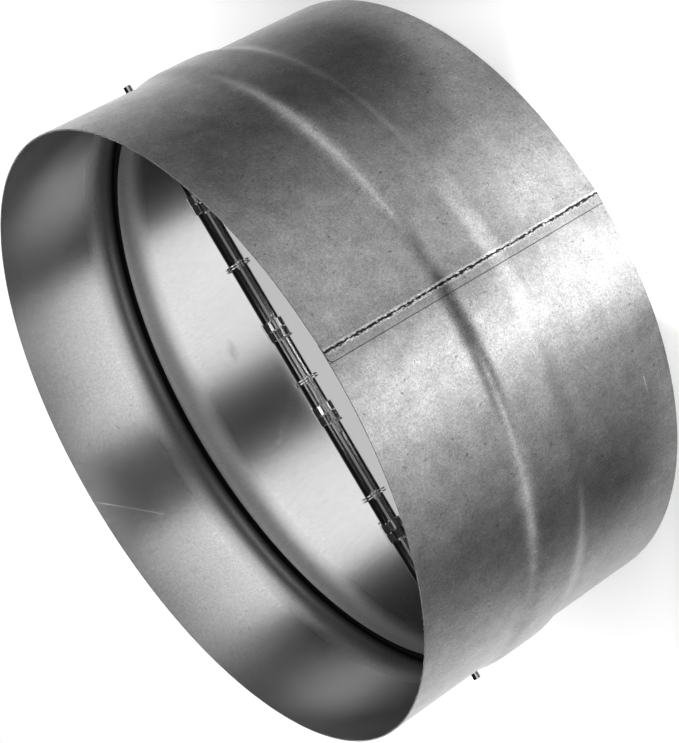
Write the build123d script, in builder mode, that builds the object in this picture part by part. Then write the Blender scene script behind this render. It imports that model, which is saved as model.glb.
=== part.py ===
from build123d import *
import os
from math import atan, cos, degrees, radians, sin, sqrt

os.makedirs("parts", exist_ok=True)

# The damper stands on its upstream rim. Air flows along +Z, and the spindle lies along X.

# Casing: rolled sheet with one raised swage and a welded lap seam
casing_diameter = 249.0
casing_length = 120.0
casing_sheet = 0.5
swage_middle = 60.0
swage_rise = 1.6
swage_crest = 12.0
swage_slope = 11.0
lap_width = 7.0
lap_ramp = 5.5
lap_edge_angle = -89.8

# Spindle and the bushes that carry it in the casing
spindle_diameter = 3.5
spindle_above_swage = 9.4
pin_proud = 3.1
pin_chamfer = 0.4
bush_wall = 1.2
bush_flange_radius = 4.5
bush_flange_thickness = 1.0
bush_nose_length = 1.6
washer_radius = 4.2
washer_thickness = 0.5

# Blades: two half discs with rolled hinge knuckles
blade_sheet = 0.8
blade_rim_gap = 3.2
blade_slope_angle = 1.0
blade_edge_setback = 1.0
knuckle_stations = (77.4, 22.0, -14.5, -65.0)
knuckle_pair_width = 7.5
knuckle_pair_gap = 0.3
knuckle_end_angle = 20.0
relief_slit_width = 0.7
relief_slit_length = 9.6

# Seal strips in the swage
seal_lap = 4.0
seal_floor_drop = 5.0
seal_end_setback = 6.0

# Closing springs: one and a half turns of wire round the spindle, with two legs
spring_stations = (50.0, 0.0, -50.0)
spring_wire = 0.6
coil_pitch = 1.0
coil_play = 1.1
leg_length = 23.0
leg_distance = 3.8
leg_hook = 0.2
leg_tip = 1.0
leg_bend_radius = 0.42

# Clearances
running_clearance = 0.05
seated_clearance = 0.05
washer_grip_clearance = 0.02
resting_clearance = 0.3
swing_clearance = 0.4
seal_wall_clearance = 0.1

# Sizes worked out from those above
casing_radius = casing_diameter / 2
spindle_radius = spindle_diameter / 2
spindle_height = swage_middle + spindle_above_swage
bend_radius = (swage_slope**2 + swage_rise**2) / (4 * swage_rise)
bend_angle = 2 * degrees(atan(swage_rise / swage_slope))
swage_foot = swage_middle - swage_crest / 2 - swage_slope
swage_top = swage_middle + swage_crest / 2
lap_rise = casing_sheet
lap_root = casing_sheet / 2
knuckle_bore = spindle_radius + running_clearance
knuckle_radius = knuckle_bore + blade_sheet
blade_radius = casing_radius - casing_sheet - blade_rim_gap
bush_radius = spindle_radius + running_clearance + bush_wall
coil_radius = spindle_radius + coil_play + spring_wire / 2
coil_turns = 1.5
coil_length = coil_turns * coil_pitch
leg_drop = knuckle_bore - resting_clearance - spring_wire / 2


# Outside radius of the casing's wall at a height, with the swage
def wall_radius_at(height):
    along = abs(height - swage_middle) - swage_crest / 2
    if along <= 0:
        return casing_radius + swage_rise
    if along >= swage_slope:
        return casing_radius
    nearer = min(along, swage_slope - along)
    dip = bend_radius - sqrt(bend_radius**2 - nearer**2)
    return casing_radius + (swage_rise - dip if along < swage_slope / 2 else dip)


# One face of the wall from rim to rim, drawn in the line being built. Depth is measured in from the outside.
def wall_line(depth):
    face_radius = casing_radius - depth
    foot = Line((face_radius, 0), (face_radius, swage_foot))
    lower_hollow = JernArc(foot @ 1, foot % 1, bend_radius + depth, -bend_angle)
    lower_crown = JernArc(lower_hollow @ 1, lower_hollow % 1, bend_radius - depth, bend_angle)
    crest = Line(lower_crown @ 1, ((lower_crown @ 1).X, swage_top))
    upper_crown = JernArc(crest @ 1, crest % 1, bend_radius - depth, bend_angle)
    upper_hollow = JernArc(upper_crown @ 1, upper_crown % 1, bend_radius + depth, -bend_angle)
    Line(upper_hollow @ 1, (face_radius, casing_length))


# Point on a circle round the casing's axis
def round_point(radius, angle):
    return (radius * cos(radians(angle)), radius * sin(radians(angle)))


# Plane of a closed blade through the spindle's axis: its x runs along the spindle, its y out to the blade's rim
def blade_plane(side):
    slope = radians(blade_slope_angle)
    return Plane(
        origin=(0, 0, spindle_height),
        x_dir=(side, 0, 0),
        z_dir=(0, side * sin(slope), cos(slope)),
    )


# Plane across the spindle, looking out to one end: its x runs out to that blade's rim
def knuckle_plane(side):
    closed = blade_plane(side)
    return Plane(origin=closed.origin, x_dir=closed.y_dir, z_dir=closed.x_dir)


# Plane across the spindle at the casing's middle, its normal towards one end
def end_plane(side):
    return Plane(origin=(0, 0, spindle_height), x_dir=(0, side, 0), z_dir=(side, 0, 0))


# Rectangle from corner to corner, added to or cut from the sketch being built
def corner_rectangle(low, high, mode):
    with Locations(((low[0] + high[0]) / 2, (low[1] + high[1]) / 2)):
        Rectangle(high[0] - low[0], high[1] - low[1], mode=mode)


# Casing
lap_end_angle = lap_edge_angle + degrees(lap_width / casing_radius)
ramp_end_angle = lap_end_angle + degrees(lap_ramp / casing_radius)
seam_plane = Plane(origin=(0, 0, 0), x_dir=(0, -1, 0), z_dir=(-1, 0, 0))

with BuildLine() as wall_side:
    wall_line(0)
seam_path = seam_plane * wall_side.line

with BuildPart() as casing:
    with BuildSketch(Plane.XZ):
        with BuildLine():
            wall_line(0)
            wall_line(casing_sheet)
            for rim in (0, casing_length):
                Line((casing_radius - casing_sheet, rim), (casing_radius, rim))
        make_face()
    revolve(axis=Axis.Z)
    # The lap's outer sheet: a full step at its cut edge, then a ramp down to the wall
    with BuildSketch(Plane.XY):
        with BuildLine():
            Polyline(
                round_point(casing_radius - lap_root, lap_edge_angle),
                round_point(casing_radius + lap_rise, lap_edge_angle),
                round_point(casing_radius + lap_rise, lap_end_angle),
                round_point(casing_radius - lap_root, ramp_end_angle),
                close=True,
            )
        make_face()
    sweep(path=seam_path)
    # Holes for the spindle's bushes
    with BuildSketch(end_plane(1)):
        Circle(bush_radius + seated_clearance)
    extrude(amount=casing_diameter, both=True, mode=Mode.SUBTRACT)
casing.part.label = "casing"
export_step(casing.part, "parts/casing.step")

# Spindle
spindle_reach = wall_radius_at(spindle_height) + pin_proud

with BuildPart() as spindle:
    with BuildSketch(end_plane(1)):
        Circle(spindle_radius)
    extrude(amount=spindle_reach, both=True)
    chamfer(spindle.edges().filter_by(GeomType.CIRCLE), pin_chamfer)
spindle.part.label = "spindle"
export_step(spindle.part, "parts/spindle.step")

# Spindle bushes and the washers that hold the spindle endways
flange_wall_radius = wall_radius_at(spindle_height + bush_flange_radius) - casing_sheet
flange_face = sqrt(flange_wall_radius**2 - bush_flange_radius**2) - bush_flange_thickness
nose_face = flange_face - bush_nose_length
bush_end = wall_radius_at(spindle_height)
washer_face = nose_face - seated_clearance - washer_thickness

for side, hand in ((1, "right"), (-1, "left")):
    with BuildPart() as bush:
        with BuildSketch(end_plane(side).offset(flange_face)):
            Circle(bush_flange_radius)
        extrude(amount=casing_radius + swage_rise - flange_face)
        # The flange's back follows the inside of the wall
        with BuildSketch(Plane.XZ):
            with BuildLine():
                wall_line(casing_sheet + seated_clearance)
                Polyline(
                    (casing_radius - casing_sheet - seated_clearance, 0),
                    (0, 0),
                    (0, casing_length),
                    (casing_radius - casing_sheet - seated_clearance, casing_length),
                )
            make_face()
        revolve(axis=Axis.Z, mode=Mode.INTERSECT)
        with BuildSketch(end_plane(side).offset(nose_face)):
            Circle(bush_radius)
        extrude(amount=bush_end - nose_face)
        with BuildSketch(end_plane(side).offset(nose_face)):
            Circle(spindle_radius + running_clearance)
        extrude(amount=bush_end - nose_face, mode=Mode.SUBTRACT)
    bush.part.label = "spindle_bush_" + hand
    export_step(bush.part, "parts/spindle_bush_" + hand + ".step")

    with BuildPart() as washer:
        with BuildSketch(end_plane(side).offset(washer_face)):
            Circle(washer_radius)
            Circle(spindle_radius + washer_grip_clearance, mode=Mode.SUBTRACT)
        extrude(amount=washer_thickness)
    washer.part.label = "retaining_washer_" + hand
    export_step(washer.part, "parts/retaining_washer_" + hand + ".step")

# Blades: the rear one swings on the +Y side, the front one on the -Y side
corner_reach = washer_face - swing_clearance
corner_depth = washer_radius + swing_clearance
knuckle_half_width = knuckle_pair_width / 2
knuckle_half_gap = knuckle_pair_gap / 2
knuckle_roll = 270 - knuckle_end_angle
notch_depth = knuckle_radius + swing_clearance
coil_notch_half_width = coil_length / 2 + spring_wire / 2 + swing_clearance
coil_notch_depth = coil_radius + spring_wire / 2 + swing_clearance

for side, place in ((1, "rear"), (-1, "front")):
    with BuildPart() as blade:
        with BuildSketch(blade_plane(side).offset(-knuckle_radius)):
            Circle(blade_radius)
            corner_rectangle(
                (-casing_radius, -casing_radius), (casing_radius, blade_edge_setback), Mode.SUBTRACT
            )
            for end in (1, -1):
                with Locations((end * (corner_reach + casing_radius) / 2, 0)):
                    Rectangle(casing_radius - corner_reach, 2 * corner_depth, mode=Mode.SUBTRACT)
            for station in spring_stations:
                with Locations((side * station, 0)):
                    Rectangle(2 * coil_notch_half_width, 2 * coil_notch_depth, mode=Mode.SUBTRACT)
            for station in knuckle_stations:
                pair = side * station
                # Room for the other blade's knuckle
                corner_rectangle(
                    (pair - knuckle_half_width - swing_clearance, 0),
                    (pair + knuckle_half_gap, notch_depth),
                    Mode.SUBTRACT,
                )
                # This blade's own knuckle, rolled from a tongue beside a relief slit
                corner_rectangle(
                    (pair + knuckle_half_gap, 0),
                    (pair + knuckle_half_width, notch_depth),
                    Mode.ADD,
                )
                corner_rectangle(
                    (pair + knuckle_half_width, 0),
                    (pair + knuckle_half_width + relief_slit_width, relief_slit_length),
                    Mode.SUBTRACT,
                )
        extrude(amount=blade_sheet)
        for station in knuckle_stations:
            with BuildSketch(knuckle_plane(side).offset(side * station + knuckle_half_gap)):
                with BuildLine():
                    outer = CenterArc((0, 0), knuckle_radius, -90, -knuckle_roll)
                    inner = CenterArc((0, 0), knuckle_bore, -90, -knuckle_roll)
                    Line(inner @ 0, outer @ 0)
                    Line(inner @ 1, outer @ 1)
                make_face()
            extrude(amount=knuckle_half_width - knuckle_half_gap)
    blade.part.label = "blade_" + place
    export_step(blade.part, "parts/blade_" + place + ".step")

# Seal strips: one under each blade's rim, cut parallel to the closed blade
seal_outside = casing_radius + swage_rise - casing_sheet - seal_wall_clearance
seal_inside = blade_radius - seal_lap
seal_floor = swage_middle - seal_floor_drop
seal_drop = knuckle_radius + resting_clearance

for side, place in ((1, "rear"), (-1, "front")):
    with BuildPart() as seal:
        with BuildSketch(Plane.XY.offset(seal_floor)):
            Circle(seal_outside)
            Circle(seal_inside, mode=Mode.SUBTRACT)
            with Locations((0, side * (seal_end_setback - casing_radius))):
                Rectangle(2 * seal_outside, 2 * casing_radius, mode=Mode.SUBTRACT)
        extrude(amount=spindle_height - seal_floor)
        split(bisect_by=blade_plane(side).offset(-seal_drop), keep=Keep.BOTTOM)
    seal.part.label = "seal_strip_" + place
    export_step(seal.part, "parts/seal_strip_" + place + ".step")

# Closing springs: the front leg lies on the front blade, the rear leg on the rear blade
spindle_axis = Axis((0, 0, spindle_height), (1, 0, 0))

for number, station in enumerate(spring_stations, 1):
    coil_foot = (station + coil_length / 2, 0, spindle_height)
    coil = Helix(coil_pitch, coil_length, coil_radius, coil_foot, (-1, 0, 0)).rotate(spindle_axis, -90)
    legs = ((-1, coil @ 0, coil % 0 * -1), (1, coil @ 1, coil % 1))
    with BuildPart() as closing_spring:
        with BuildSketch(Plane(coil @ 0, z_dir=coil % 0)):
            Circle(spring_wire / 2)
        sweep(path=coil, is_frenet=True)
        for side, root, way in legs:
            leg_height = spindle_height - leg_drop
            turn = root + way * leg_bend_radius
            corner = Vector(root.X - side * leg_hook, side * leg_distance, leg_height)
            knee = Vector(root.X + side * leg_length, side * leg_distance, leg_height)
            tip = knee + Vector(side * leg_tip, -side * leg_tip, 0)
            with BuildLine() as leg:
                FilletPolyline(root, turn, corner, knee, tip, radius=leg_bend_radius)
            with BuildSketch(Plane(root, z_dir=way)):
                Circle(spring_wire / 2)
            sweep(path=leg.line)
    closing_spring.part.label = "closing_spring_" + str(number)
    export_step(closing_spring.part, "parts/closing_spring_" + str(number) + ".step")
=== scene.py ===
from math import atan2, cos, pi, radians, sin, sqrt

import bmesh
import bpy
from mathutils import Matrix, Quaternion, Vector, noise


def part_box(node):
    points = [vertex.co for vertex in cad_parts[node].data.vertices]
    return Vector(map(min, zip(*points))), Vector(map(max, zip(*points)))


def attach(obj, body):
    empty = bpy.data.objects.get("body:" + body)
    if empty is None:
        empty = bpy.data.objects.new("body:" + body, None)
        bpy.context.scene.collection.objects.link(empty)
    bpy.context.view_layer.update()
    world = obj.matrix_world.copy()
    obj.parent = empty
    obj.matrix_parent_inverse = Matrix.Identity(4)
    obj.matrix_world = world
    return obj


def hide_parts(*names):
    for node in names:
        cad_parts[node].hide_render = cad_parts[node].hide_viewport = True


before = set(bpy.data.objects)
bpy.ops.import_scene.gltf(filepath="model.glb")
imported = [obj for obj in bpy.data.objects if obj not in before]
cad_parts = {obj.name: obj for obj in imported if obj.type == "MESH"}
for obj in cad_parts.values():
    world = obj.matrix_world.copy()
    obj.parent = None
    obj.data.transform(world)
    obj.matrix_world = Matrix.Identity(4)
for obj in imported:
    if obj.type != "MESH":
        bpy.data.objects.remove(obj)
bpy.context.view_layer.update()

mm = 0.001
scene = bpy.context.scene
scene.view_settings.view_transform = "Standard"

camera = {
    "place": (-1.01, -669.91, 403.21),  # mm, from the centre of the upstream rim
    "looksAlong": (-0.003385, 0.886458, -0.462796),
    "roll": -120.77,  # degrees about the view axis
    "lens": 96.74,
    "sensor": 36.0,
}


def makeCamera():
    data = bpy.data.cameras.new("camera")
    data.lens = camera["lens"]
    data.sensor_fit = "VERTICAL"
    data.sensor_height = camera["sensor"]
    data.clip_start = 0.01
    data.clip_end = 20
    obj = bpy.data.objects.new("camera", data)
    obj.location = Vector(camera["place"]) * mm
    aim = Vector(camera["looksAlong"]).to_track_quat("-Z", "Y")
    turn = Quaternion((0, 0, 1), radians(camera["roll"]))
    obj.rotation_mode = "QUATERNION"
    obj.rotation_quaternion = aim @ turn
    scene.collection.objects.link(obj)
    scene.camera = obj


makeCamera()
print("camera placed")


# places read from the frame, in mm
casingLow, casingHigh = (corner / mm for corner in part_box("casing"))
spindleLow, spindleHigh = (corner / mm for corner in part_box("spindle"))
spindleHeight = (spindleLow.z + spindleHigh.z) / 2
spindleRadius = (spindleHigh.z - spindleLow.z) / 2
casingLength = casingHigh.z


# a finished piece from a bmesh drawn in mm
def finishPiece(name, bm, material, body, node=None, recalc=True):
    bmesh.ops.scale(bm, vec=(mm, mm, mm), verts=bm.verts)
    if recalc:
        bmesh.ops.recalc_face_normals(bm, faces=bm.faces)
    mesh = bpy.data.meshes.new(name)
    bm.to_mesh(mesh)
    bm.free()
    for face in mesh.polygons:
        face.use_smooth = True
    obj = bpy.data.objects.new(name, mesh)
    scene.collection.objects.link(obj)
    mesh.materials.append(material)
    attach(obj, body)
    if node:
        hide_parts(node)
    return obj


def addBevel(obj, width, segments, angle=30):
    bevel = obj.modifiers.new("edges", "BEVEL")
    bevel.width = width * mm
    bevel.segments = segments
    bevel.limit_method = "ANGLE"
    bevel.angle_limit = radians(angle)
    bevel.harden_normals = True


# shader helpers
def newMaterial(name):
    material = bpy.data.materials.new(name)
    material.use_nodes = True
    tree = material.node_tree
    surface = tree.nodes["Principled BSDF"]
    return material, tree, surface


def addNode(tree, kind, **settings):
    node = tree.nodes.new(kind)
    for key, value in settings.items():
        if key in node.inputs:
            node.inputs[key].default_value = value
        else:
            setattr(node, key, value)
    return node


def objectPlace(tree, scale=(1, 1, 1), turn=(0, 0, 0)):
    place = tree.nodes.new("ShaderNodeTexCoord")
    mapping = tree.nodes.new("ShaderNodeMapping")
    mapping.inputs["Scale"].default_value = scale
    mapping.inputs["Rotation"].default_value = turn
    tree.links.new(place.outputs["Object"], mapping.inputs["Vector"])
    return mapping.outputs["Vector"]


def noiseField(tree, vector, scale, detail=2.0, roughness=0.5, distortion=0.0):
    field = addNode(
        tree, "ShaderNodeTexNoise", Scale=scale, Detail=detail, Roughness=roughness, Distortion=distortion
    )
    tree.links.new(vector, field.inputs["Vector"])
    return field.outputs["Fac"]


def remap(tree, value, low, high, toLow, toHigh):
    node = tree.nodes.new("ShaderNodeMapRange")
    node.inputs["From Min"].default_value = low
    node.inputs["From Max"].default_value = high
    node.inputs["To Min"].default_value = toLow
    node.inputs["To Max"].default_value = toHigh
    tree.links.new(value, node.inputs["Value"])
    return node.outputs["Result"]


def combine(tree, operation, first, second):
    node = addNode(tree, "ShaderNodeMath", operation=operation)
    for number, value in enumerate((first, second)):
        if isinstance(value, (int, float)):
            node.inputs[number].default_value = value
        else:
            tree.links.new(value, node.inputs[number])
    return node.outputs["Value"]


def greyColour(tree, value):
    node = tree.nodes.new("ShaderNodeCombineColor")
    for channel in ("Red", "Green", "Blue"):
        tree.links.new(value, node.inputs[channel])
    return node.outputs["Color"]


def addBump(tree, surface, height, strength, distance):
    bump = addNode(tree, "ShaderNodeBump", Strength=strength, Distance=distance)
    tree.links.new(height, bump.inputs["Height"])
    tree.links.new(bump.outputs["Normal"], surface.inputs["Normal"])


galvanised = {
    "grey": 0.262,
    "roughness": 0.27,
    "roughnessSpread": 0.03,
    "insideGrain": 0.5,  # share of the grain's contrast on the inside
    "paintedLightInside": 1.3,  # painted light: the inside is painted this many times lighter than the outside
    "swageMiddle": 60.0,
    "paintedShadeBySeals": (5.6, 9.0, 0.05),  # mm from the swage's middle where the painted shade inside, beside the seals, ends, and its tone
    "insideSwage": (13, 21, 0.22),  # mm from the swage's middle, and how much rougher the inside is there
    "paintedLapShadow": (0.42, 0.05, 0.24, 0.22),  # painted shadow of the lap's step: x of the lap's edge, where its dark line starts and ends, tone
    "paintedWeldShade": (4.2, 1.2, 7.5, 0.84),  # x of the weld, and the same for the painted shade in a band beside it
    # each layer of tone: noise scale, stretch along the casing, noise band, share at its low and high end
    "tones": (
        (2300, 1.0, (0.32, 0.68), (0.76, 1.24)),  # grain
        (1500, 0.25, (0.35, 0.65), (0.97, 1.03)),  # rolling marks
        (1000, 1.0, (0.32, 0.68), (0.87, 1.13)),  # coarse grain
        (760, 0.8, (0.26, 0.34), (0.50, 1.0)),  # dark specks
        (620, 0.7, (0.66, 0.74), (1.0, 1.25)),  # bright flecks
        (30, 1.0, (0.30, 0.70), (0.94, 1.06)),  # clouds
    ),
    "outsideTones": (
        (150, 1.0, (0.30, 0.70), (0.86, 1.14)),  # mottling
    ),
    # scratches in mm: start, end, half width, how much brighter
    "scratches": (
        ((84.6, -91.3, 18.8), (84.4, -91.5, 11.2), 0.22, 1.2),
        ((79.3, -95.9, 22.3), (79.5, -95.8, 16.2), 0.2, 0.9),
        ((-56.6, -110.9, 12.1), (-63.0, -107.4, 11.6), 0.25, 1.6),
        ((-16.9, -123.4, 7.4), (-17.4, -123.3, 4.8), 0.2, 1.0),
        ((1.0, 124.0, 119.0), (-6.6, 123.8, 109.5), 0.2, 2.6),
        ((-6.6, 123.8, 109.5), (-17.6, 122.7, 96.5), 0.18, 1.8),
        ((2.6, 124.0, 91.6), (1.9, 124.0, 81.5), 0.16, 0.8),
        ((0.8, 124.0, 90.1), (0.9, 124.0, 85.8), 0.16, 0.8),
    ),
}


def placePart(tree, place, axis):
    parts = tree.nodes.new("ShaderNodeSeparateXYZ")
    tree.links.new(place, parts.inputs["Vector"])
    return parts.outputs[axis]


# how near a point is to a straight scratch, 1 on it and 0 off it
def scratchMask(tree, place, start, end, width):
    run = (Vector(end) - Vector(start)) * mm
    offset = addNode(tree, "ShaderNodeVectorMath", operation="SUBTRACT")
    offset.inputs[1].default_value = Vector(start) * mm
    tree.links.new(place, offset.inputs[0])
    along = addNode(tree, "ShaderNodeVectorMath", operation="DOT_PRODUCT")
    along.inputs[1].default_value = run / run.length_squared
    tree.links.new(offset.outputs["Vector"], along.inputs[0])
    foot = addNode(tree, "ShaderNodeVectorMath", operation="SCALE")
    foot.inputs[0].default_value = run
    tree.links.new(remap(tree, along.outputs["Value"], 0, 1, 0, 1), foot.inputs["Scale"])
    gap = addNode(tree, "ShaderNodeVectorMath", operation="DISTANCE")
    tree.links.new(offset.outputs["Vector"], gap.inputs[0])
    tree.links.new(foot.outputs["Vector"], gap.inputs[1])
    return remap(tree, gap.outputs["Value"], 0, width * mm, 1, 0)


# scratches or finger marks over a tone, broken up by a worn field
def addMarks(tree, tone, place, marks, worn):
    for start, end, width, gain in marks:
        mask = combine(tree, "MULTIPLY", scratchMask(tree, place, start, end, width), worn)
        tone = combine(tree, "MULTIPLY", tone, remap(tree, mask, 0, 0.6, 1, 1 + gain))
    return tone


# a painted shade in a stripe down the seam's side, at a distance x from the plane through the axis
def paintedSeamShade(tree, x, start, end, tone):
    place = objectPlace(tree)
    gap = combine(tree, "ABSOLUTE", combine(tree, "SUBTRACT", placePart(tree, place, "X"), x * mm), 0)
    stripe = remap(tree, gap, start * mm, end * mm, tone, 1)
    behind = combine(tree, "GREATER_THAN", placePart(tree, place, "Y"), 0)
    return combine(tree, "MAXIMUM", stripe, behind)


def galvanisedSteel(name, inside):
    values = galvanised
    material, tree, surface = newMaterial(name)
    tone = None
    for scale, stretch, band, shares in values["tones"] + (() if inside else values["outsideTones"]):
        field = noiseField(tree, objectPlace(tree, scale=(1, 1, stretch)), scale, 2.0, 0.6)
        contrast = values["insideGrain"] if inside else 1
        layer = remap(tree, field, *band, *(1 + (share - 1) * contrast for share in shares))
        tone = layer if tone is None else combine(tree, "MULTIPLY", tone, layer)
    place = objectPlace(tree)
    worn = noiseField(tree, place, 900, 2.0, 0.6)
    tone = addMarks(tree, tone, place, values["scratches"], worn)
    clouds = noiseField(tree, place, 60, 3.0, 0.55)
    spread = 0 if inside else values["roughnessSpread"]
    roughness = remap(tree, clouds, 0.3, 0.7, values["roughness"] - spread, values["roughness"] + spread)
    grey = values["grey"]
    if inside:
        height = combine(tree, "SUBTRACT", placePart(tree, place, "Z"), values["swageMiddle"] * mm)
        gap = combine(tree, "ABSOLUTE", height, 0)
        near, far, more = values["insideSwage"]
        roughness = combine(tree, "ADD", roughness, remap(tree, gap, near * mm, far * mm, more, 0))
        # painted shade: a black band inside the swage beside the seals' edges
        near, far, dark = values["paintedShadeBySeals"]
        tone = combine(tree, "MULTIPLY", tone, remap(tree, gap, near * mm, far * mm, dark, 1))
        # painted light: the inside is a lighter copy of the same sheet
        grey *= values["paintedLightInside"]
    else:
        # painted shade: the shadow line along the lap's step, and a shade band beside the weld
        for stripe in values["paintedLapShadow"], values["paintedWeldShade"]:
            tone = combine(tree, "MULTIPLY", tone, paintedSeamShade(tree, *stripe))
    tree.links.new(greyColour(tree, combine(tree, "MULTIPLY", tone, grey)), surface.inputs["Base Color"])
    tree.links.new(roughness, surface.inputs["Roughness"])
    surface.inputs["Metallic"].default_value = 1.0
    return material


aluminiumSheet = {
    "tone": (0.793, 0.805),
    "roughness": 0.085,
    "rollingLines": (900, 0.12),  # noise scale, and stretch along Y
    "waves": (11, 0.012, 0.0004),  # noise scale, bump strength and distance in m
    "smudgeFilmAndPaintedShade": 130,  # noise scale of the finger marks
    # finger marks, listed like the scratches
    "marks": (
        ((25.9, 42.2, 66.6), (24.0, 45.5, 66.6), 4.5, -0.30),
        ((-2.7, 54.2, 66.4), (-1.6, 51.0, 66.4), 3.5, -0.20),
    ),
}


def brightAluminium():
    values = aluminiumSheet
    material, tree, surface = newMaterial("brightAluminium")
    scale, stretch = values["rollingLines"]
    lines = noiseField(tree, objectPlace(tree, scale=(1, stretch, 1)), scale, 3.0, 0.6)
    scale, strength, distance = values["waves"]
    waves = noiseField(tree, objectPlace(tree), scale, 1.0, 0.5)
    smudgeFilmAndPaintedShade = noiseField(tree, objectPlace(tree), values["smudgeFilmAndPaintedShade"], 3.0, 0.6)
    tone = remap(tree, lines, 0.3, 0.7, *values["tone"])
    tone = addMarks(tree, tone, objectPlace(tree), values["marks"], smudgeFilmAndPaintedShade)
    tree.links.new(greyColour(tree, tone), surface.inputs["Base Color"])
    surface.inputs["Roughness"].default_value = values["roughness"]
    surface.inputs["Metallic"].default_value = 1.0
    addBump(tree, surface, waves, strength, distance)
    return material


# wires, rods and cut edges; an optional painted shade gives the heights in mm where it starts and ends,
# and its tone below and above them, so that a rod is painted lighter below and darker above
def drawnSteel(name, grey, roughness, smudgeFilmAndPaintedShade=None):
    material, tree, surface = newMaterial(name)
    place = objectPlace(tree, scale=(0.06, 1, 1))  # draw marks run along the rod
    marks = noiseField(tree, place, 2600, 2.5, 0.6)
    tone = remap(tree, marks, 0.3, 0.7, grey * 0.9, grey * 1.1)
    if smudgeFilmAndPaintedShade:
        low, high, below, above = smudgeFilmAndPaintedShade
        height = placePart(tree, objectPlace(tree), "Z")
        # painted shade and highlight: lighter below these heights, darker above them
        tone = combine(tree, "MULTIPLY", tone, remap(tree, height, low * mm, high * mm, below, above))
    tree.links.new(greyColour(tree, tone), surface.inputs["Base Color"])
    uneven = remap(tree, marks, 0.3, 0.7, roughness * 0.8, roughness * 1.25)
    tree.links.new(uneven, surface.inputs["Roughness"])
    surface.inputs["Metallic"].default_value = 1.0
    addBump(tree, surface, marks, 0.1, 0.00003)
    return material


blackParts = {
    # noise scale and detail, darkest and lightest tone, roughness, gloss, bump strength and distance in m
    "rubber": (1400, 3.0, (0.002, 0.006), 0.85, 0.08, 0.5, 0.0002),
    "nylon": (2200, 2.0, (0.03, 0.05), 0.45, 0.5, 0.2, 0.00005),
}


def blackMaterial(name):
    scale, detail, tones, roughness, gloss, strength, distance = blackParts[name]
    material, tree, surface = newMaterial(name)
    grain = noiseField(tree, objectPlace(tree), scale, detail, 0.6)
    tree.links.new(greyColour(tree, remap(tree, grain, 0.3, 0.7, *tones)), surface.inputs["Base Color"])
    surface.inputs["Roughness"].default_value = roughness
    surface.inputs["Specular IOR Level"].default_value = gloss
    addBump(tree, surface, grain, strength, distance)
    return material


def weldMetal():
    material, tree, surface = newMaterial("weldMetal")
    depth = addNode(tree, "ShaderNodeAttribute", attribute_name="weldDepth")
    grain = noiseField(tree, objectPlace(tree), 1800, 3.0, 0.7)
    tone = remap(tree, depth.outputs["Fac"], 0.0, 1.0, 0.02, 0.62)
    mixed = combine(tree, "MULTIPLY", tone, remap(tree, grain, 0.3, 0.7, 0.6, 1.3))
    tree.links.new(greyColour(tree, mixed), surface.inputs["Base Color"])
    surface.inputs["Metallic"].default_value = 1.0
    surface.inputs["Roughness"].default_value = 0.3
    addBump(tree, surface, grain, 0.5, 0.00008)
    return material


steelSheet = galvanisedSteel("galvanisedSteel", False)
steelInside = galvanisedSteel("galvanisedInsidePaintedLight", True)
cutSteel = drawnSteel("cutSteel", 0.035, 0.55)
aluminium = brightAluminium()
# painted shade and highlight: the spindle is painted darker above its axis and lighter below it
spindleSteel = drawnSteel("spindleSteel", 0.6, 0.16, (spindleHeight - 0.9, spindleHeight, 1.55, 0.3))
springSteel = drawnSteel("springSteel", 0.68, 0.2)
washerSteel = drawnSteel("washerSteel", 0.55, 0.3)
rubber = blackMaterial("rubber")
nylon = blackMaterial("nylon")
weldSteel = weldMetal()
print("materials ready")


casing = {
    "radius": 124.5,
    "sheet": 0.5,
    "swageMiddle": 60.0,
    "swageRise": 1.6,
    "crest": 12.0,
    "slope": 11.0,
    "turns": 400,  # columns round the casing
    "arcSteps": 10,
    "lapWidth": 7.0,
    "lapRamp": 5.5,
    "lapLift": 0.38,
    "edgeAngle": -89.8,
    "cornerRadius": 2.0,
    "waveHeight": 0.12,
    "waveLength": 55.0,
}


# outside radius of the wall at a height: two equal arcs make each slope of the swage
def wallRadius(z):
    run, rise = casing["slope"], casing["swageRise"]
    along = abs(z - casing["swageMiddle"]) - casing["crest"] / 2
    if along <= 0:
        return casing["radius"] + rise
    if along >= run:
        return casing["radius"]
    bend = (run**2 + rise**2) / (4 * rise)
    near = min(along, run - along)
    dip = bend - sqrt(bend**2 - near**2)
    return casing["radius"] + (rise - dip if along < run / 2 else dip)


# heights of the wall's rows, closest together on the swage's slopes and at the rims
def wallRows():
    middle, crest, slope = casing["swageMiddle"], casing["crest"] / 2, casing["slope"]
    corners = [0, 2, middle - crest - slope, middle - crest, middle + crest, middle + crest + slope]
    corners += [casingLength - casing["cornerRadius"], casingLength]
    steps = [2, 10, 2 * casing["arcSteps"], 5, 2 * casing["arcSteps"], 10, 5]
    rows = []
    for low, high, count in zip(corners, corners[1:], steps):
        rows += [low + (high - low) * n / count for n in range(count)]
    return rows + [casingLength]


# slow unevenness of the rolled sheet, the same wherever two layers lie together
def sheetWave(place):
    return casing["waveHeight"] * (noise.noise(place / casing["waveLength"]) - 1) / 1.2


def lapLift(along):
    past = along - casing["lapWidth"]
    if past <= 0:
        return casing["lapLift"]
    share = max(0.0, 1 - past / casing["lapRamp"])
    return casing["lapLift"] * share * share * (3 - 2 * share)


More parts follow.
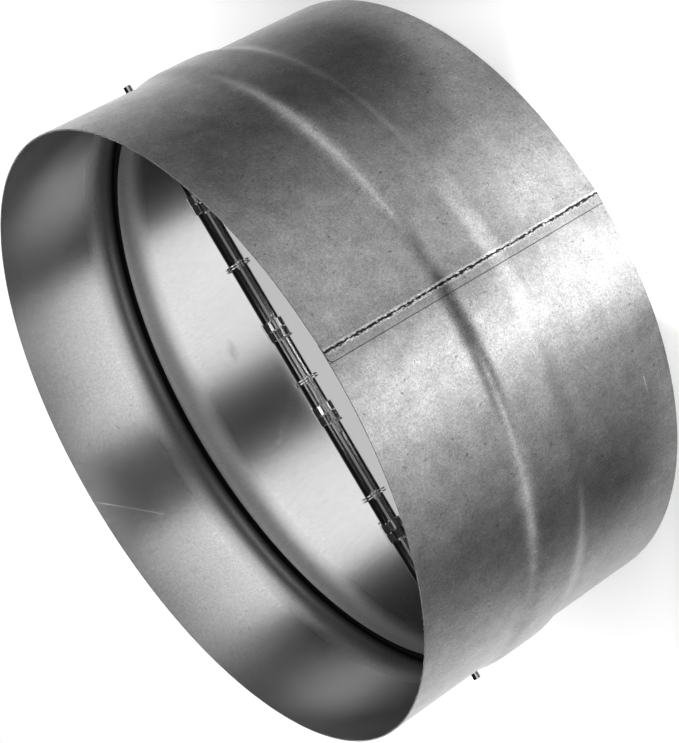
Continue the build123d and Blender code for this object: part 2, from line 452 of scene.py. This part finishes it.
def makeCasing():
    bm = bmesh.new()
    rows = wallRows()
    start = radians(casing["edgeAngle"])
    line = [bm.verts.new((wallRadius(z) * cos(start), wallRadius(z) * sin(start), z)) for z in rows]
    edges = [bm.edges.new(pair) for pair in zip(line, line[1:])]
    sweep = 2 * pi + casing["lapWidth"] / casing["radius"]
    # the sheet goes round once and its end lies under its start
    bmesh.ops.spin(
        bm, geom=line + edges, cent=(0, 0, 0), axis=(0, 0, 1), dvec=(0, 0, 0),
        angle=sweep, steps=casing["turns"], use_merge=False, use_duplicate=False,
    )
    bm.verts.index_update()
    rowCount = len(rows)
    corner = casing["cornerRadius"]
    for number, vert in enumerate(bm.verts):
        column = number // rowCount
        angle = start + sweep * column / casing["turns"]
        along = (angle - start) * casing["radius"]
        z = vert.co.z
        into = z - (casingLength - corner)
        if into > 0 and along < 3 * corner:  # the outer corner of the lap is rounded
            back = corner - sqrt(max(0.0, corner**2 - into**2))
            angle += back * (1 - along / (3 * corner)) / casing["radius"]
        radius = wallRadius(z) + lapLift(along)
        place = Vector((radius * cos(angle), radius * sin(angle), z))
        out = Vector((cos(angle), sin(angle), 0))
        vert.co = place + out * sheetWave(place)
    obj = finishPiece("casingSheet", bm, steelSheet, "frame", "casing")
    obj.data.materials.append(cutSteel)
    obj.data.materials.append(steelInside)
    wall = obj.modifiers.new("sheet", "SOLIDIFY")
    wall.thickness = casing["sheet"] * mm
    wall.offset = -1
    wall.material_offset = 2
    wall.material_offset_rim = 1
    addBevel(obj, 0.06, 2, 40)
    return obj


sheetPiece = makeCasing()
print("casing made")


weld = {
    "angle": -88.05,
    "width": 2.6,
    "step": 0.3,  # mm between rows along the seam
    "columns": 21,
    "crown": 0.17,
    "groove": 0.20,
    "lowest": 0.035,  # the bead never dips under the sheet
    "ragged": 0.14,
    "crownShare": 0.62,  # how much of the half width the crown takes
    "sway": ((0.22, 6.0), (0.26, 0.9)),  # how far the line wanders, and over what length
    "groovePlace": (0.36, 0.25, 1.6, 0.14),  # half width, its change, over what length, softness
    "gritSize": (0.35, 0.5),
    "fleckSize": (0.5, 1.3),
    "fleckLevel": (0.2, 3.0),  # where flecks start in the noise, and how bright they get
    "flatFrom": 0.75,  # share of the half width where the bead runs out into the sheet
    "tone": (0.5, 0.4, 0.85, 0.15, -0.1),  # mean, grit, groove, above the groove and below it
    "upperFrom": 0.3,
    "sink": 0.05,  # mm by which the bead's edges dip into the sheet
    "clearance": 0.012,
}


def makeWeld():
    values = weld
    rows = int(casingLength / values["step"])
    bm = bmesh.new()
    bmesh.ops.create_grid(bm, x_segments=values["columns"] - 1, y_segments=rows, size=0.5)
    depths = []
    half = values["width"] / 2
    for vert in bm.verts:
        across = vert.co.x * values["width"]
        z = casingLength / 2 + vert.co.y * (casingLength - 0.2)
        slow, quick = values["sway"]
        sway = slow[0] * noise.noise(Vector((3.1, 0.4, z / slow[1])))
        sway += quick[0] * noise.noise(Vector((9.4, 2, z / quick[1])))
        place = (across - sway) / half
        crown = max(0.0, 1 - (place / values["crownShare"]) ** 2)
        middle, change, length, softness = values["groovePlace"]
        width = middle + change * noise.noise(Vector((1.2, 8.5, z / length)))
        trench = max(0.0, min(1.0, (width - abs(place)) / softness))
        wide, long = values["gritSize"]
        grit = noise.noise(Vector((across / wide, z / long, 1.7)))
        wide, long = values["fleckSize"]
        level, gain = values["fleckLevel"]
        fleck = max(0.0, noise.noise(Vector((across / wide, z / long, 21.0))) - level) * gain
        height = values["crown"] * crown - values["groove"] * trench + values["ragged"] * grit * crown
        height = max(values["lowest"], height)
        flat = values["flatFrom"]
        edge = max(0.0, 1 - max(0.0, abs(place) - flat) / (1 - flat))
        angle = radians(values["angle"]) + across / casing["radius"]
        along = (angle - radians(casing["edgeAngle"])) * casing["radius"]
        radius = wallRadius(z) + lapLift(along)
        out = Vector((cos(angle), sin(angle), 0))
        base = out * radius
        base.z = z
        mean, gritTone, grooveTone, above, below = values["tone"]
        tone = mean + gritTone * grit + fleck * crown - grooveTone * trench
        tone += above if place > values["upperFrom"] else below
        depths.append(max(0.0, min(1.0, tone)))
        lift = height * edge - values["sink"] * (1 - edge) + values["clearance"]
        vert.co = base + out * (sheetWave(base) + lift)
    obj = finishPiece("weldBead", bm, weldSteel, "frame", recalc=False)
    layer = obj.data.attributes.new("weldDepth", "FLOAT", "POINT")
    layer.data.foreach_set("value", depths)
    wall = obj.modifiers.new("depth", "SOLIDIFY")
    wall.thickness = 0.2 * mm
    wall.offset = -1
    return obj


weldPiece = makeWeld()
print("weld made")


# a round rod along X whose half profile is a list of (distance along, radius)
def spinRod(bm, profile, steps=48):
    verts = [bm.verts.new((x, 0, spindleHeight + radius)) for x, radius in profile]
    edges = [bm.edges.new(pair) for pair in zip(verts, verts[1:])]
    bmesh.ops.spin(
        bm, geom=verts + edges, cent=(0, 0, spindleHeight), axis=(1, 0, 0), dvec=(0, 0, 0),
        angle=2 * pi, steps=steps, use_merge=True, use_duplicate=False,
    )
    bmesh.ops.remove_doubles(bm, verts=bm.verts, dist=0.0005)


rod = {"endRound": 0.45, "roundSteps": 4}


def makeSpindle():
    bm = bmesh.new()
    rounding, end, radius = rod["endRound"], spindleHigh.x, spindleRadius
    profile = [(end, 0.0)]
    for n in range(rod["roundSteps"] + 1):
        turn = n * pi / 2 / rod["roundSteps"]
        profile.append((end - rounding * (1 - cos(turn)), radius - rounding * (1 - sin(turn))))
    profile += [(end - 10, radius), (0, radius)]
    mirrored = [(-x, r) for x, r in reversed(profile[:-1])]
    spinRod(bm, profile + mirrored)
    return finishPiece("spindleRod", bm, spindleSteel, "frame", "spindle")


spindlePiece = makeSpindle()
print("spindle made")


blade = {
    "radius": 120.8,
    "sheet": 0.8,
    "bore": 1.8,
    "tilt": 1.0,
    "setback": 1.0,
    "stations": (77.4, 22.0, -14.5, -65.0),
    "pairWidth": 7.5,
    "pairGap": 0.3,
    "rollEnd": 20.0,
    "rollSteps": 26,
    "slitWidth": 0.7,
    "slitLength": 9.6,
    "notchDepth": 3.0,
    "springNotch": (1.45, 3.85),  # half width and depth
    "cornerAt": 120.0,
    "cornerDepth": 4.6,
    "arcSteps": 150,
    "edgeBevel": 0.09,
}


def springStations():
    boxes = [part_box("closing_spring_" + str(n)) for n in (1, 2, 3)]
    return [(low.x + high.x) / 2 / mm for low, high in boxes]


# stretches of the straight edge: (from, to, depth), sorted along the spindle
def edgeSteps(side):
    half, gap, slit = blade["pairWidth"] / 2, blade["pairGap"] / 2, blade["slitWidth"]
    steps = []
    for station in blade["stations"]:
        pair = side * station
        steps.append((pair - half - 0.4, pair + gap, blade["notchDepth"]))
        steps.append((pair + gap, pair + half, 0.0))
        steps.append((pair + half, pair + half + slit, blade["slitLength"]))
    for station in springStations():
        width, depth = blade["springNotch"]
        steps.append((side * station - width, side * station + width, depth))
    return sorted(steps)


def makeBlade(side, place):
    values = blade
    bm = bmesh.new()
    outline = []
    corner = values["cornerAt"]
    outline.append((-corner, values["cornerDepth"]))
    outline.append((-corner, values["setback"]))
    knuckles = []
    for low, high, depth in edgeSteps(side):
        if abs(outline[-1][0] - low) > 0.01:
            outline.append((low, values["setback"]))
        outline.append((low, depth))
        outline.append((high, depth))
        if depth == 0.0:
            knuckles.append((low, high))
        following = [step for step in edgeSteps(side) if abs(step[0] - high) < 0.01]
        if not following:
            outline.append((high, values["setback"]))
    outline.append((corner, values["setback"]))
    outline.append((corner, values["cornerDepth"]))
    first = atan2(values["cornerDepth"], sqrt(values["radius"] ** 2 - values["cornerDepth"] ** 2))
    for n in range(values["arcSteps"] + 1):
        turn = first + (pi - 2 * first) * n / values["arcSteps"]
        outline.append((values["radius"] * cos(turn), values["radius"] * sin(turn)))
    clean = [outline[0]]
    for point in outline[1:]:
        if abs(point[0] - clean[-1][0]) + abs(point[1] - clean[-1][1]) > 0.001:
            clean.append(point)
    floor = -values["bore"] - values["sheet"]
    verts = [bm.verts.new((u, v, floor)) for u, v in clean]
    face = bm.faces.new(verts)
    raised = bmesh.ops.extrude_face_region(bm, geom=[face], use_keep_orig=True)
    top = [item for item in raised["geom"] if isinstance(item, bmesh.types.BMVert)]
    bmesh.ops.translate(bm, verts=top, vec=(0, 0, values["sheet"]))
    # each knuckle is rolled from the end face of its tongue
    for low, high in knuckles:
        ends = [
            f for f in bm.faces
            if abs(f.calc_center_median().y) < 0.01 and low < f.calc_center_median().x < high
        ]
        geom = ends + list({e for f in ends for e in f.edges}) + list({v for f in ends for v in f.verts})
        bmesh.ops.spin(
            bm, geom=geom, cent=(0, 0, 0), axis=(1, 0, 0), dvec=(0, 0, 0),
            angle=-radians(270 - values["rollEnd"]), steps=values["rollSteps"],
            use_merge=False, use_duplicate=False,
        )
    tilt = radians(values["tilt"])
    alongSpindle = Vector((side, 0, 0))
    toRim = Vector((0, side * cos(tilt), -sin(tilt)))
    upward = Vector((0, side * sin(tilt), cos(tilt)))
    turn = Matrix((alongSpindle, toRim, upward)).transposed().to_4x4()
    turn.translation = (0, 0, spindleHeight)
    bmesh.ops.transform(bm, matrix=turn, verts=bm.verts)
    obj = finishPiece(place + "Blade", bm, aluminium, place + "_blade", "blade_" + place)
    addBevel(obj, values["edgeBevel"], 2, 35)
    return obj


bladePieces = [makeBlade(1, "rear"), makeBlade(-1, "front")]
print("blades made")


seal = {
    "inside": 116.8,  # radii in mm
    "outside": 125.4,
    "floor": 55.0,
    "endSetback": 6.0,
    "gap": 0.3,  # left under the closed blades
    "rounding": 0.9,
    "steps": 150,
}


def makeSeal(side, place):
    values = seal
    low, high = values["floor"], spindleHeight - blade["bore"] - blade["sheet"] - values["gap"]
    mid = (values["inside"] + values["outside"]) / 2
    first = radians(side * 90) - (pi / 2 - values["endSetback"] / mid)
    bm = bmesh.new()
    inner, outer = values["inside"], values["outside"]
    corners = [(inner, low), (outer, low), (outer, high), (inner, high)]
    ring = [bm.verts.new((r * cos(first), r * sin(first), z)) for r, z in corners]
    face = bm.faces.new(ring)
    bmesh.ops.spin(
        bm, geom=[face] + list(face.edges) + ring, cent=(0, 0, 0), axis=(0, 0, 1), dvec=(0, 0, 0),
        angle=pi - 2 * values["endSetback"] / mid, steps=values["steps"],
        use_merge=False, use_duplicate=False,
    )
    middles = [f.calc_center_median() for f in bm.faces]
    if not any(abs(atan2(middle.y, middle.x) - first) < 0.001 for middle in middles):
        bm.faces.new(ring)
    drop = sin(radians(blade["tilt"]))
    for vert in bm.verts:
        if vert.co.z > (low + high) / 2:
            vert.co.z -= abs(vert.co.y) * drop
    obj = finishPiece(place + "Seal", bm, rubber, "frame", "seal_strip_" + place)
    addBevel(obj, values["rounding"], 3, 40)
    return obj


sealPieces = [makeSeal(1, "rear"), makeSeal(-1, "front")]
print("seals made")


spring = {
    "wire": 0.58,
    "pitch": 1.0,
    "turns": 1.5,
    "coilRadius": 3.15,
    "legLength": 23.0,
    "legDistance": 3.7,
    "legHeight": 1.36,  # below the spindle's axis
    "hook": 0.25,
    "tip": 1.1,
}


# round wire along a list of points, as a closed mesh
def wirePiece(name, points, body, node=None):
    curve = bpy.data.curves.new(name, "CURVE")
    curve.dimensions = "3D"
    curve.bevel_depth = spring["wire"] / 2 * mm
    curve.bevel_resolution = 4
    curve.use_fill_caps = True
    curve.resolution_u = 8
    line = curve.splines.new("NURBS")
    line.points.add(len(points) - 1)
    for target, point in zip(line.points, points):
        target.co = (*(Vector(point) * mm), 1)
    line.order_u = 3
    line.use_endpoint_u = True
    bent = bpy.data.objects.new(name, curve)
    mesh = bpy.data.meshes.new_from_object(bent)
    bpy.data.objects.remove(bent)
    bpy.data.curves.remove(curve)
    mesh.name = name
    for face in mesh.polygons:
        face.use_smooth = True
    obj = bpy.data.objects.new(name, mesh)
    scene.collection.objects.link(obj)
    mesh.materials.clear()
    mesh.materials.append(springSteel)
    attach(obj, body)
    if node:
        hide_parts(node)
    return obj


def makeSpring(number, station):
    values = spring
    length = values["turns"] * values["pitch"]
    coil = []
    steps = 60
    for n in range(steps + 1):
        share = n / steps
        turn = 2 * pi * values["turns"] * share
        coil.append((
            station + length * (0.5 - share),
            -values["coilRadius"] * cos(turn),
            spindleHeight + values["coilRadius"] * sin(turn),
        ))
    wirePiece("springCoil" + str(number), coil, "frame", "closing_spring_" + str(number))
    low = spindleHeight - values["legHeight"]
    for side, place, root in ((-1, "front", coil[0]), (1, "rear", coil[-1])):
        reach, hook = side * values["legDistance"], side * values["hook"]
        leg = [
            (root[0], root[1], root[2] + 0.1),
            (root[0] - hook * 0.2, root[1], root[2] - 0.45),
            (root[0] - hook, reach - side * 0.1, low + 0.3),
            (root[0] - hook, reach, low),
            (root[0] + side * 0.9, reach, low),
            (root[0] + side * 4, reach, low),
            (root[0] + side * 12, reach, low),
            (root[0] + side * (values["legLength"] - 2), reach, low),
            (root[0] + side * values["legLength"], reach, low),
            (root[0] + side * (values["legLength"] + 0.6), reach - side * 0.5, low),
            (root[0] + side * (values["legLength"] + values["tip"]), reach - side * values["tip"], low),
        ]
        wirePiece("springLeg" + place.capitalize() + str(number), leg, place + "_blade")


for number, station in enumerate(springStations(), 1):
    makeSpring(number, station)
print("springs made")


for name, material in (
    ("spindle_bush_left", nylon), ("spindle_bush_right", nylon),
    ("retaining_washer_left", washerSteel), ("retaining_washer_right", washerSteel),
):
    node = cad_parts[name]
    node.data.materials.clear()
    node.data.materials.append(material)
print("bushes and washers finished")


studio = {
    "floorGrey": 0.92,
    "worldGrey": 0.025,
    "centre": (0, -0.068, 0),  # where the floor's soft shades and its glow spread from
    # direction and half width in degrees, depth, the line they lie beyond as a distance from the axis in m
    # and a direction, how far beyond it they come in, and the distances where they go out
    "shades": (
        (190, 45, 0.82, 0.1227, (-0.682, -0.7315), (-0.006, 0.026), (0.32, 0.60)),
        (-6, 66, 0.87, 0.1224, (0.9076, -0.42), (-0.006, 0.026), (0.32, 0.60)),
        (-102, 62, 0.75, 0.345, (-0.208, -0.978), (0, 0.12), (0.8, 1.4)),
    ),
    "ownGlow": 0.21,  # lifts the whole floor to white
    # direction and half width in degrees, strength, and the distances where they go out
    "glows": ((-110, 24, 2.3, (0.33, 0.43)), (-84, 46, 2.0, (0.152, 0.208))),
    "overhead": (1.5, (2.4, 2.4), 2.47699),  # height and size in m, brightness
    # upright softboxes: azimuth and elevation in degrees, distance, size in m, brightness
    "softboxes": (
        (-140, 20, 1.3, (1.5, 0.95), 3.1),
        (-42, 20, 1.3, (1.2, 0.95), 3.1),
        (90, 31, 1.6, (1.8, 0.75), 0.62),
        (90, 13.5, 1.6, (1.6, 0.36), 16.0),
    ),
}


def smoothRamp(tree, value, low, high, toLow=0.0, toHigh=1.0):
    node = tree.nodes.new("ShaderNodeMapRange")
    node.interpolation_type = "SMOOTHSTEP"
    node.inputs["From Min"].default_value = low
    node.inputs["From Max"].default_value = high
    node.inputs["To Min"].default_value = toLow
    node.inputs["To Max"].default_value = toHigh
    tree.links.new(value, node.inputs["Value"])
    return node.outputs["Result"]


# a soft sector of the floor, 1 along its direction and 0 beyond its half width
def floorSector(tree, aim, direction, halfWidth):
    dot = addNode(tree, "ShaderNodeVectorMath", operation="DOT_PRODUCT")
    tree.links.new(aim, dot.inputs[0])
    dot.inputs[1].default_value = (cos(radians(direction)), sin(radians(direction)), 0)
    angle = addNode(tree, "ShaderNodeMath", operation="ARCCOSINE")
    tree.links.new(dot.outputs["Value"], angle.inputs[0])
    return smoothRamp(tree, angle.outputs["Value"], 0, radians(halfWidth), 1, 0)


def paleFloor():
    material, tree, surface = newMaterial("paleFloor")
    place = objectPlace(tree)
    offset = addNode(tree, "ShaderNodeVectorMath", operation="SUBTRACT")
    tree.links.new(place, offset.inputs[0])
    offset.inputs[1].default_value = studio["centre"]
    aim = addNode(tree, "ShaderNodeVectorMath", operation="NORMALIZE")
    tree.links.new(offset.outputs["Vector"], aim.inputs[0])
    distance = addNode(tree, "ShaderNodeVectorMath", operation="LENGTH")
    tree.links.new(place, distance.inputs[0])
    level = None
    for direction, halfWidth, depth, line, normal, comesIn, goesOut in studio["shades"]:
        beyond = addNode(tree, "ShaderNodeVectorMath", operation="DOT_PRODUCT")
        tree.links.new(place, beyond.inputs[0])
        beyond.inputs[1].default_value = (*normal, 0)
        near = smoothRamp(tree, beyond.outputs["Value"], line + comesIn[0], line + comesIn[1])
        far = smoothRamp(tree, distance.outputs["Value"], *goesOut, depth, 0)
        sector = floorSector(tree, aim.outputs["Vector"], direction, halfWidth)
        sector = combine(tree, "MULTIPLY", sector, combine(tree, "MULTIPLY", near, far))
        shade = combine(tree, "SUBTRACT", 1.0, sector)
        level = shade if level is None else combine(tree, "MULTIPLY", level, shade)
    colour = greyColour(tree, combine(tree, "MULTIPLY", level, studio["floorGrey"]))
    tree.links.new(colour, surface.inputs["Base Color"])
    surface.inputs["Roughness"].default_value = 0.9
    surface.inputs["Specular IOR Level"].default_value = 0.0
    glow = combine(tree, "MULTIPLY", level, studio["ownGlow"])
    for direction, halfWidth, strength, reach in studio["glows"]:
        sector = floorSector(tree, aim.outputs["Vector"], direction, halfWidth)
        fade = smoothRamp(tree, distance.outputs["Value"], *reach, strength, 0)
        glow = combine(tree, "ADD", combine(tree, "MULTIPLY", sector, fade), glow)
    surface.inputs["Emission Color"].default_value = (1, 1, 1, 1)
    tree.links.new(glow, surface.inputs["Emission Strength"])
    return material


def makeLamp(name, place, direction, size, brightness):
    data = bpy.data.lights.new(name, "AREA")
    data.shape = "RECTANGLE"
    data.size, data.size_y = size
    data.energy = brightness * pi * size[0] * size[1]
    lamp = bpy.data.objects.new(name, data)
    lamp.location = place
    lamp.rotation_mode = "QUATERNION"
    lamp.rotation_quaternion = direction.to_track_quat("-Z", "Y")
    scene.collection.objects.link(lamp)
    return lamp


def makeStudio():
    bm = bmesh.new()
    bmesh.ops.create_grid(bm, x_segments=1, y_segments=1, size=3.0)
    mesh = bpy.data.meshes.new("floor")
    bm.to_mesh(mesh)
    bm.free()
    floor = bpy.data.objects.new("floor", mesh)
    scene.collection.objects.link(floor)
    mesh.materials.append(paleFloor())
    world = bpy.data.worlds.new("studio")
    world.use_nodes = True
    world.node_tree.nodes["Background"].inputs["Color"].default_value = (*[studio["worldGrey"]] * 3, 1)
    scene.world = world
    height, size, brightness = studio["overhead"]
    overhead = makeLamp("overhead", Vector((0, 0, height)), Vector((0, 0, -1)), size, brightness)
    overhead.visible_glossy = False  # it lights the floor, and the metal shows only the softboxes
    for number, (azimuth, elevation, distance, size, brightness) in enumerate(studio["softboxes"]):
        level, turn = radians(elevation), radians(azimuth)
        away = Vector((cos(level) * cos(turn), cos(level) * sin(turn), sin(level)))
        place = Vector((0, 0, 0.06)) + away * distance
        softbox = makeLamp("softbox" + str(number), place, -away, size, brightness)
        softbox.visible_diffuse = False


makeStudio()
print("studio lit")
